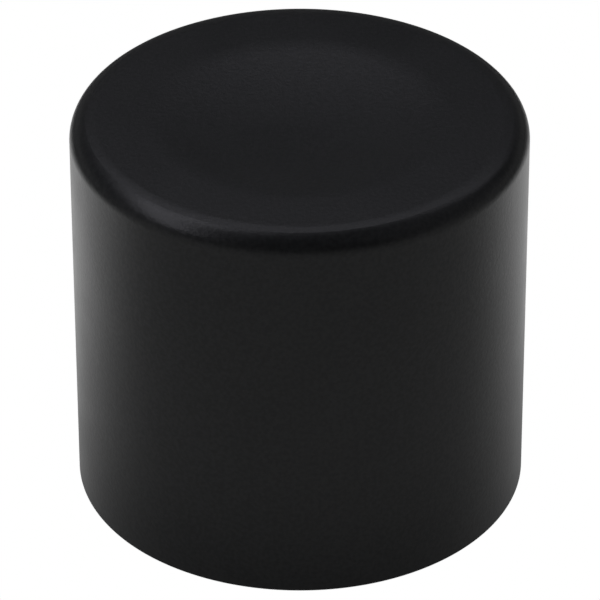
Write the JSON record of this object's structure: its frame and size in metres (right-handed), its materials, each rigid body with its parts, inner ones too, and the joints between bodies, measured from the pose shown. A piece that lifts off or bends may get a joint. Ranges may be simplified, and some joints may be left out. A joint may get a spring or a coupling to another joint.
{
  "type": "rock tumbler barrel",
  "caption": "Round moulded rubber tumbling barrel with a closed end, flat-sided inside, and a screw-down two-lid closure in its mouth.",
  "frame": {"origin": "centre of the mouth rim's circle, on the plane that the rim stands on", "axes": "+Z is the barrel's axis, from the mouth to the closed end; X and Y are across it"},
  "size_m": [0.1142, 0.1142, 0.104],
  "materials": {
    "barrel_rubber": "satin black moulded rubber with a fine grain",
    "lid_rubber": "matte black moulded rubber",
    "plate_steel": "zinc-plated steel, dull",
    "stud_steel": "zinc-plated steel thread",
    "lid_steel": "bright plated pressed steel with fine rubbing marks",
    "nut_brass": "turned brass, knurled"
  },
  "bodies": {
    "outer_lid": {"outer_lid": "lid_steel", "rubber_washer": "lid_rubber", "flat_washer": "plate_steel"},
    "nut": {"lid_nut": "nut_brass"},
    "inner_lid": {"inner_lid": "lid_rubber", "stud_plate": "plate_steel", "lid_stud": "stud_steel"},
    "barrel": {"barrel_body": "barrel_rubber"}
  },
  "joints": [
    {"name": "nut_turn", "type": "hinge", "parent": "outer_lid", "child": "nut", "pos_m": [0, 0, 0.0043], "axis": [0, 0, -1], "range_deg": [0, 1800]},
    {"name": "lid_spread", "type": "slide", "parent": "outer_lid", "child": "inner_lid", "axis": [0, 0, 1], "range_m": [0, 0.00625]},
    {"name": "barrel_lift", "type": "slide", "parent": "inner_lid", "child": "barrel", "axis": [0, 0, 1], "range_m": [0, 0.07]}
  ],
  "couplings": [
    {"joint": "nut_turn", "follows": "lid_spread", "rad_per_m": 5026.5}
  ]
}
